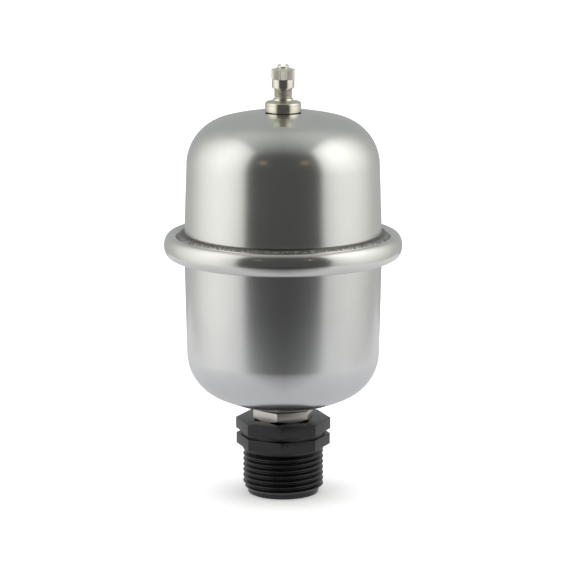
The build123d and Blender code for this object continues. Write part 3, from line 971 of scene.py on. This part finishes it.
class TANK_OT_finish_inner_parts(bpy.types.Operator):
    """Gives the pieces inside their real finishes"""

    bl_idname = "tank.finish_inner_parts"
    bl_label = "Finish inner parts"

    def wind_spring(self, finish):
        """The core's coil spring, wound from round wire."""
        low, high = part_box("core_spring")
        wire = 0.3 * MM
        turns = 6
        travel = high[2] - low[2] - wire
        clear_selection()
        bpy.ops.mesh.primitive_circle_add(
            vertices=12,
            radius=wire / 2,
            location=(high[0] - wire / 2, 0, low[2] + wire / 2),
            rotation=(math.radians(90), 0, 0),
        )
        coil = bpy.context.active_object
        coil.name = "core_spring_wound"
        bpy.ops.object.transform_apply(location=True, rotation=True, scale=True)
        screw = coil.modifiers.new("Wind", "SCREW")
        screw.screw_offset = travel / turns
        screw.iterations = turns
        screw.steps = 32
        screw.render_steps = 32
        bpy.ops.object.modifier_apply(modifier="Wind")
        bpy.ops.object.mode_set(mode="EDIT")
        bpy.ops.mesh.select_all(action="SELECT")
        bpy.ops.mesh.fill_holes(sides=0)
        bpy.ops.mesh.select_all(action="SELECT")
        bpy.ops.mesh.normals_make_consistent(inside=False)
        bpy.ops.object.mode_set(mode="OBJECT")
        place(coil, "tank", finish, "spring_steel", "core_spring")
        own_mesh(coil)

    def execute(self, context):
        rubber = soft_rubber("black butyl rubber", "#1c1c1d", "#161617")
        for node in ("diaphragm", "inner_gasket", "core_barrel_seal", "core_seat_seal"):
            refinish(node, rubber)
        refinish("cap_seal", rubber)
        steel = plain_metal("zinc-plated steel", "#d4d4d0", "#c6c6c2", 0.3)
        refinish("inner_washer", steel)
        brass = plain_metal("bare turned brass", "#d8b86c", "#cba757", 0.24)
        for node in ("valve_nut", "core_plug", "core_barrel", "core_pin"):
            refinish(node, brass)
        self.wind_spring(plain_metal("drawn spring steel", "#c2c0ba", "#b0aea8", 0.28))
        return {"FINISHED"}


class TANK_OT_set_up_studio(bpy.types.Operator):
    """Puts the tank in a light tent with an open front, on a pale floor, and aims the camera"""

    bl_idname = "tank.set_up_studio"
    bl_label = "Set up studio"

    def glow(self, name, tint, strength_of):
        """A glowing material whose strength the given function works out from Object coordinates."""
        material = bpy.data.materials.new(name)
        material.use_nodes = True
        material.node_tree.nodes.clear()
        where = add_node(material, "ShaderNodeTexCoord")
        strength = strength_of(material, where.outputs["Object"])
        emission = add_node(
            material, "ShaderNodeEmission", values=[("Color", linear(tint))], links=[("Strength", strength)]
        )
        add_node(material, "ShaderNodeOutputMaterial", links=[("Surface", emission.outputs["Emission"])])
        return material

    def sum_of(self, material, operation, first, second, third=None):
        """One Math node; each term is a number or another node's output."""
        terms = [term for term in (first, second, third) if term is not None]
        values = [(i, term) for i, term in enumerate(terms) if isinstance(term, (int, float))]
        links = [(i, term) for i, term in enumerate(terms) if not isinstance(term, (int, float))]
        node = add_node(
            material, "ShaderNodeMath", settings=[("operation", operation)], values=values, links=links
        )
        return node.outputs["Value"]

    def brighter_at_sides(self, material, where, strength, gain):
        """The strength times 1 + gain times the distance from the middle plane."""
        axes = add_node(material, "ShaderNodeSeparateXYZ", links=[("Vector", where)])
        off_middle = self.sum_of(material, "ABSOLUTE", axes.outputs["X"], 0.0)
        factor = self.sum_of(material, "MULTIPLY_ADD", off_middle, gain, 1.0)
        return self.sum_of(material, "MULTIPLY", strength, factor)

    def lit_cloth(self, name, tint, centre, squeeze, near, far, reach, side_gain=0.0):
        """White cloth lit from outside by a lamp, brightest at its centre."""

        def strength_of(material, where):
            about = add_node(
                material,
                "ShaderNodeMapping",
                values=[("Location", [-p * k for p, k in zip(centre, squeeze)]), ("Scale", squeeze)],
                links=[("Vector", where)],
            )
            distance = add_node(
                material,
                "ShaderNodeVectorMath",
                settings=[("operation", "LENGTH")],
                links=[(0, about.outputs["Vector"])],
            )
            strength = add_node(
                material,
                "ShaderNodeMapRange",
                settings=[("interpolation_type", "SMOOTHSTEP")],
                values=[("From Max", reach), ("To Min", near), ("To Max", far)],
                links=[("Value", distance.outputs["Value"])],
            )
            return self.brighter_at_sides(material, where, strength.outputs["Result"], side_gain)

        return self.glow(name, tint, strength_of)

    def lit_floor(self, name, tint, mouth, dark, bright, side_gain):
        """The tent's floor: dark at its open mouth, lighter inwards and towards the side walls."""

        def strength_of(material, where):
            axes = add_node(material, "ShaderNodeSeparateXYZ", links=[("Vector", where)])
            off_middle = self.sum_of(material, "ABSOLUTE", axes.outputs["X"], 0.0)
            depth = self.sum_of(material, "SUBTRACT", axes.outputs["Y"], mouth)
            run_up = self.sum_of(material, "MULTIPLY_ADD", off_middle, -0.7, 0.22)
            share = self.sum_of(material, "DIVIDE", depth, run_up)
            strength = add_node(
                material,
                "ShaderNodeMapRange",
                values=[("To Min", dark), ("To Max", bright)],
                links=[("Value", share)],
            )
            return self.brighter_at_sides(material, where, strength.outputs["Result"], side_gain)

        return self.glow(name, tint, strength_of)

    def card(self, name, corners, material):
        """A flat sheet of cloth through four corners, seen only in reflections and as light."""
        clear_selection()
        bpy.ops.mesh.primitive_plane_add(size=1)
        sheet = bpy.context.object
        sheet.name = name
        for vertex, corner in zip(sheet.data.vertices, corners):
            vertex.co = corner
        sheet.data.materials.append(material)
        sheet.visible_camera = False
        sheet.visible_shadow = False
        return sheet

    def lamp_head(self, name, place, radius):
        """A small warm lamp beside the camera, seen only as a soft dot in the polished steel."""
        clear_selection()
        bpy.ops.mesh.primitive_circle_add(vertices=24, radius=radius, fill_type="NGON")
        head = bpy.context.object
        head.name = name
        facing = Vector((0, 0, 0.14)) - Vector(place)
        turned = facing.to_track_quat("Z", "Y").to_matrix()
        for vertex in head.data.vertices:
            vertex.co = turned @ vertex.co + Vector(place)
        head.data.materials.append(
            self.lit_cloth(name + " glass", "#ffe2bd", place, (1, 1, 1), 1.5, 0.8, radius)
        )
        head.visible_camera = False
        head.visible_shadow = False
        head.visible_diffuse = False

    def execute(self, context):
        half = 0.25
        back = 0.30
        roof = 0.55
        sides = (
            (-1, "tent_left", -0.274, 0.28, 0.55, 1.32),
            (1, "tent_right", -0.26, 0.33, 0.7, 1.5),
        )
        for sign, name, front, height, squeeze, near in sides:
            x = sign * half
            cloth = self.lit_cloth(
                name + " lit cloth", "#fffffc", (x, -0.07, height), (1, 1, squeeze), near, 0.55, 0.32
            )
            self.card(name, [(x, front, 0), (x, back, 0), (x, front, roof), (x, back, roof)], cloth)
        rear = self.lit_cloth("unlit tent cloth", "#fbfffe", (0, back, 0.3), (1, 1, 1), 0.44, 0.5, 0.4)
        self.card("tent_back", [(-half, back, 0), (half, back, 0), (-half, back, roof), (half, back, roof)], rear)
        above = self.lit_cloth("tent roof cloth", "#fdfffd", (0, 0.1, roof), (0.4, 1, 1), 0.49, 0.08, 0.56, 1.6)
        self.card(
            "tent_roof", [(-half, -0.46, roof), (half, -0.46, roof), (-half, back, roof), (half, back, roof)], above
        )
        table = self.lit_floor("tent floor cloth", "#fbfbff", -0.27, 0.05, 0.59, 2.0)
        low = 0.05 * MM
        table_top = self.card(
            "tent_floor", [(-half, -0.6, low), (half, -0.6, low), (-half, back, low), (half, back, low)], table
        )
        table_top.visible_diffuse = False
        for x, y, name in ((-0.346, -0.745, "left_lamp"), (0.378, -0.728, "right_lamp")):
            self.lamp_head(name, (x, y, 0.575), 0.04)

        clear_selection()
        bpy.ops.mesh.primitive_circle_add(vertices=96, radius=2.4, fill_type="NGON")
        sweep = bpy.context.object
        sweep.name = "pale_floor"
        bpy.ops.object.mode_set(mode="EDIT")
        bpy.ops.mesh.select_all(action="SELECT")
        last = (2.4, 0.0)
        for radius, height in arc((2.4, 0.9), 0.9, -90, 0, 12)[1:] + [(3.3, 3.0)]:
            bpy.ops.mesh.extrude_region_move(TRANSFORM_OT_translate={"value": (0, 0, height - last[1])})
            scale = radius / last[0]
            bpy.ops.transform.resize(value=(scale, scale, 1), center_override=(0, 0, height))
            last = (radius, height)
        bpy.ops.mesh.delete(type="ONLY_FACE")
        bpy.ops.mesh.select_all(action="SELECT")
        bpy.ops.mesh.normals_make_consistent(inside=True)
        bpy.ops.object.mode_set(mode="OBJECT")
        bpy.ops.mesh.primitive_circle_add(vertices=96, radius=2.4, fill_type="NGON")
        join(sweep, bpy.context.object)
        tidy_mesh(sweep, 0.1 * MM)
        bpy.ops.object.shade_smooth()
        paper, shader = new_finish(
            "pale studio paper",
            [("Roughness", 0.9), ("Specular IOR Level", 0.0), ("Emission Color", linear("#ffffff")), ("Emission Strength", 0.28)],
        )
        fibre = pattern(paper, "ShaderNodeTexNoise", 300)
        pale = colour_ramp(paper, fibre.outputs["Fac"], [(0.3, linear("#f1f1f1")), (0.7, linear("#f4f4f4"))])
        paper.node_tree.links.new(pale.outputs["Color"], shader.inputs["Base Color"])
        sweep.data.materials.append(paper)
        sweep.visible_glossy = False

        light = bpy.data.lights.new("overhead_softbox", "AREA")
        light.shape = "DISK"
        light.size = 2.6
        light.energy = 56
        light.specular_factor = 0.0
        lamp = bpy.data.objects.new("overhead_softbox", light)
        context.scene.collection.objects.link(lamp)
        lamp.location = (0, 0.2, 2.4)
        lamp.visible_camera = False
        lamp.visible_glossy = False

        world = bpy.data.worlds.new("dark room")
        world.use_nodes = True
        background = world.node_tree.nodes["Background"]
        background.inputs["Color"].default_value = linear("#f6f8f2")
        background.inputs["Strength"].default_value = 0.089
        context.scene.world = world

        camera = bpy.data.cameras.new("camera")
        camera.sensor_width = 36.0
        camera.lens = 36.0 * 2979 / 570
        camera.clip_start = 0.01
        camera.clip_end = 20
        holder = bpy.data.objects.new("camera", camera)
        context.scene.collection.objects.link(holder)
        holder.location = (0, -1.2, 0.3294)
        holder.rotation_euler = (math.radians(90 - 11.405), 0, -math.atan(1.9 / 2979))
        context.scene.camera = holder
        context.scene.view_settings.view_transform = "Standard"
        return {"FINISHED"}


STEPS = (
    TANK_OT_draw_upper_shell,
    TANK_OT_draw_lower_shell,
    TANK_OT_roll_clamp_ring,
    TANK_OT_lay_welds,
    TANK_OT_mill_inlet_fitting,
    TANK_OT_mould_bush,
    TANK_OT_turn_valve,
    TANK_OT_turn_cap,
    TANK_OT_finish_inner_parts,
    TANK_OT_set_up_studio,
)


class TANK_PT_steps(bpy.types.Panel):
    """Lists the tank's building steps"""

    bl_label = "Expansion tank"
    bl_idname = "TANK_PT_steps"
    bl_space_type = "VIEW_3D"
    bl_region_type = "UI"
    bl_category = "Tank"

    def draw(self, context):
        for step in STEPS:
            self.layout.operator(step.bl_idname)


CLASSES = (TankSizes, TankColours, *STEPS, TANK_PT_steps)


def register():
    for kind in CLASSES:
        bpy.utils.register_class(kind)
    bpy.types.Scene.tank_sizes = bpy.props.PointerProperty(type=TankSizes)
    bpy.types.Scene.tank_colours = bpy.props.PointerProperty(type=TankColours)


def unregister():
    del bpy.types.Scene.tank_colours
    del bpy.types.Scene.tank_sizes
    for kind in reversed(CLASSES):
        bpy.utils.unregister_class(kind)


def corners(box):
    return [[float(value) for value in corner] for corner in box]


def main():
    register()
    for step in STEPS:
        group, name = step.bl_idname.split(".")
        getattr(getattr(bpy.ops, group), name)()


if __name__ == "__main__":
    main()
